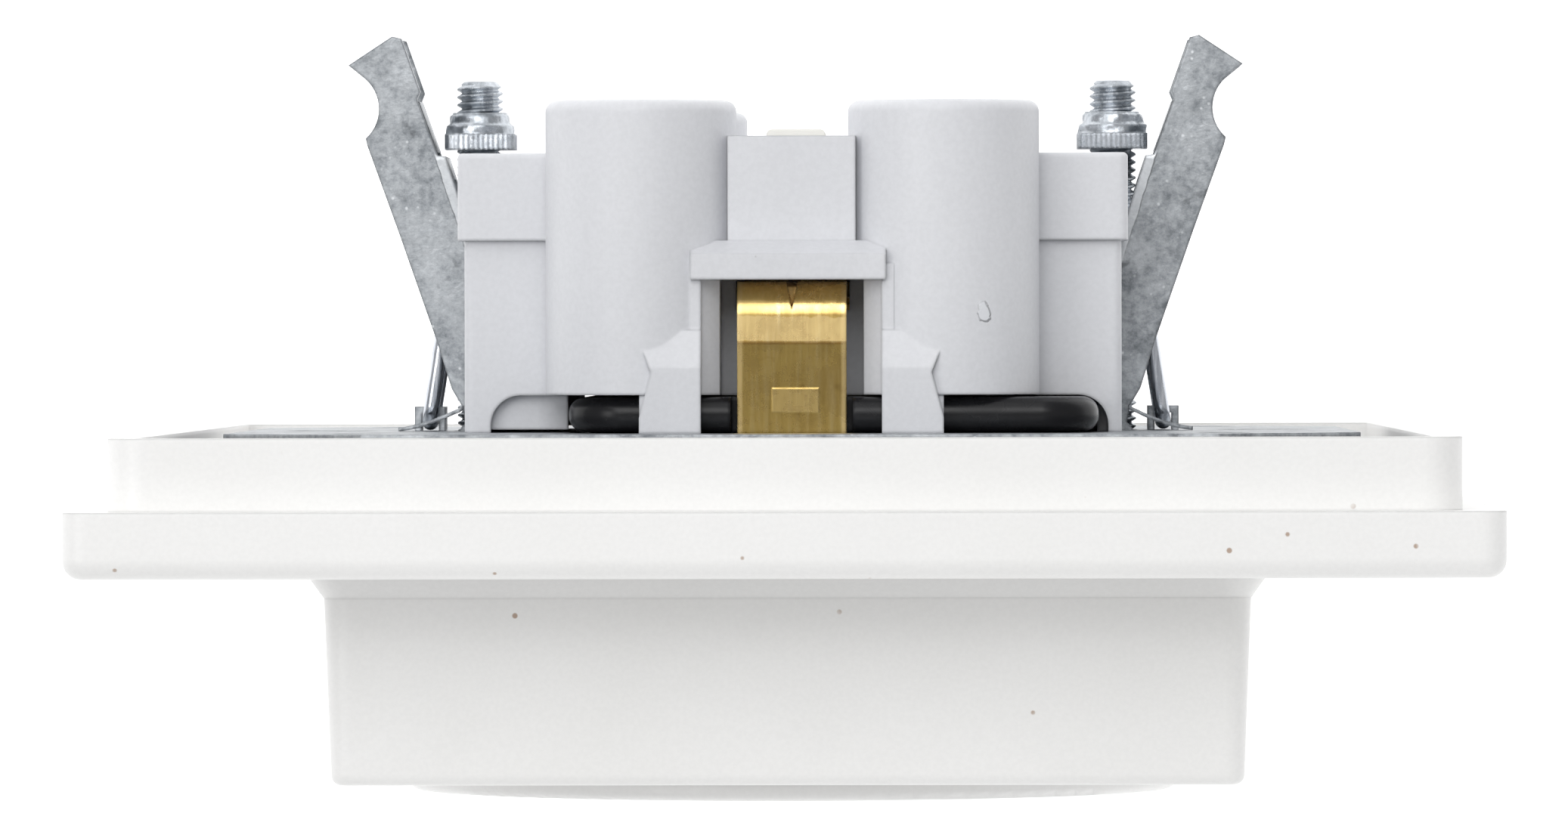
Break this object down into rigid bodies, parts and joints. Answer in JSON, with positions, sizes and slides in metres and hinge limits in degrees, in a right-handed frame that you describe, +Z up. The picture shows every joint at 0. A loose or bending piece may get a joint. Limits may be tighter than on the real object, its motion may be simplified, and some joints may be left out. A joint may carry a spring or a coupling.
{
  "type": "double earthed wall socket",
  "caption": "White double wall socket with round recessed wells, a light grey rear base and spreading claws for one round flush box.",
  "frame": {"origin": "on the wall plane, at the middle between the two 60 mm box screws", "axes": "+Y into the wall, +Z up from the lower well to the upper one, X across"},
  "size_m": [0.086, 0.0477, 0.129],
  "materials": {
    "white_plastic": "satin gloss moulded",
    "grey_plastic": "satin moulded",
    "black_plastic": "gloss moulded",
    "lever_plastic": "satin moulded",
    "zinc_steel": "zinc plated sheet",
    "spring_steel": "bright drawn wire",
    "brass": "rolled strip"
  },
  "bodies": {
    "housing": {"cover_plate": "white_plastic", "well_floor_upper": "white_plastic", "well_floor_lower": "white_plastic", "cover_screws": "zinc_steel", "shutter_spring_upper": "spring_steel", "shutter_spring_lower": "spring_steel", "front_carrier": "black_plastic", "support_ring": "zinc_steel", "ring_screws": "zinc_steel", "insulating_plate": "black_plastic", "rear_base": "grey_plastic", "live_rail": "brass", "neutral_rail": "brass", "live_clamp_springs": "spring_steel", "neutral_clamp_springs": "spring_steel", "earth_clamp_springs": "spring_steel", "earth_bridge": "brass", "earth_yoke_upper": "brass", "earth_yoke_lower": "brass"},
    "upper_shutter": {"shutter_upper": "grey_plastic"},
    "lower_shutter": {"shutter_lower": "grey_plastic"},
    "live_lever": {"release_lever_live": "lever_plastic"},
    "neutral_lever": {"release_lever_neutral": "lever_plastic"},
    "earth_lever": {"release_lever_earth": "lever_plastic"},
    "left_screw": {"claw_screw_left": "zinc_steel"},
    "left_nut": {"claw_nut_left": "zinc_steel"},
    "left_claw": {"claw_left": "zinc_steel"},
    "left_bail": {"claw_spring_left": "spring_steel"},
    "right_screw": {"claw_screw_right": "zinc_steel"},
    "right_nut": {"claw_nut_right": "zinc_steel"},
    "right_claw": {"claw_right": "zinc_steel"},
    "right_bail": {"claw_spring_right": "spring_steel"}
  },
  "joints": [
    {"name": "left_screw_turn", "type": "hinge", "parent": "housing", "child": "left_screw", "pos_m": [-0.0204, 0, 0], "axis": [0, 1, 0], "range_deg": [0, 5040]},
    {"name": "left_nut_travel", "type": "slide", "parent": "housing", "child": "left_nut", "axis": [0, -1, 0], "range_m": [0, 0.007]},
    {"name": "left_claw_spread", "type": "hinge", "parent": "housing", "child": "left_claw", "pos_m": [-0.0206, -0.0004, 0], "axis": [0, 0, 1], "range_deg": [0, 12]},
    {"name": "left_bail_flex", "type": "hinge", "parent": "housing", "child": "left_bail", "pos_m": [-0.0236, 0.00055, 0], "axis": [0, 0, 1], "range_deg": [0, 15]},
    {"name": "right_screw_turn", "type": "hinge", "parent": "housing", "child": "right_screw", "pos_m": [0.0204, 0, 0], "axis": [0, 1, 0], "range_deg": [0, 5040]},
    {"name": "right_nut_travel", "type": "slide", "parent": "housing", "child": "right_nut", "axis": [0, -1, 0], "range_m": [0, 0.007]},
    {"name": "right_claw_spread", "type": "hinge", "parent": "housing", "child": "right_claw", "pos_m": [0.0206, -0.0004, 0], "axis": [0, 0, -1], "range_deg": [0, 12]},
    {"name": "right_bail_flex", "type": "hinge", "parent": "housing", "child": "right_bail", "pos_m": [0.0236, 0.00055, 0], "axis": [0, 0, -1], "range_deg": [0, 15]},
    {"name": "upper_shutter_slide", "type": "slide", "parent": "housing", "child": "upper_shutter", "axis": [0, 0, 1], "range_m": [0, 0.0062], "stiffness_N_per_m": 60, "springref_m": -0.004, "deforming": ["shutter_spring_upper"]},
    {"name": "lower_shutter_slide", "type": "slide", "parent": "housing", "child": "lower_shutter", "axis": [0, 0, -1], "range_m": [0, 0.0062], "stiffness_N_per_m": 60, "springref_m": -0.004, "deforming": ["shutter_spring_lower"]},
    {"name": "live_lever_press", "type": "slide", "parent": "housing", "child": "live_lever", "axis": [0, -1, 0], "range_m": [0, 0.0015], "stiffness_N_per_m": 800, "springref_m": -0.001},
    {"name": "neutral_lever_press", "type": "slide", "parent": "housing", "child": "neutral_lever", "axis": [0, -1, 0], "range_m": [0, 0.0015], "stiffness_N_per_m": 800, "springref_m": -0.001},
    {"name": "earth_lever_press", "type": "slide", "parent": "housing", "child": "earth_lever", "axis": [0, -1, 0], "range_m": [0, 0.0012], "stiffness_N_per_m": 800, "springref_m": -0.001}
  ],
  "couplings": [
    {"joint": "left_screw_turn", "follows": "left_nut_travel", "rad_per_m": 12566},
    {"joint": "left_claw_spread", "follows": "left_nut_travel", "rad_per_m": 29.9},
    {"joint": "left_bail_flex", "follows": "left_nut_travel", "rad_per_m": 37.3},
    {"joint": "right_screw_turn", "follows": "right_nut_travel", "rad_per_m": 12566},
    {"joint": "right_claw_spread", "follows": "right_nut_travel", "rad_per_m": 29.9},
    {"joint": "right_bail_flex", "follows": "right_nut_travel", "rad_per_m": 37.3}
  ]
}
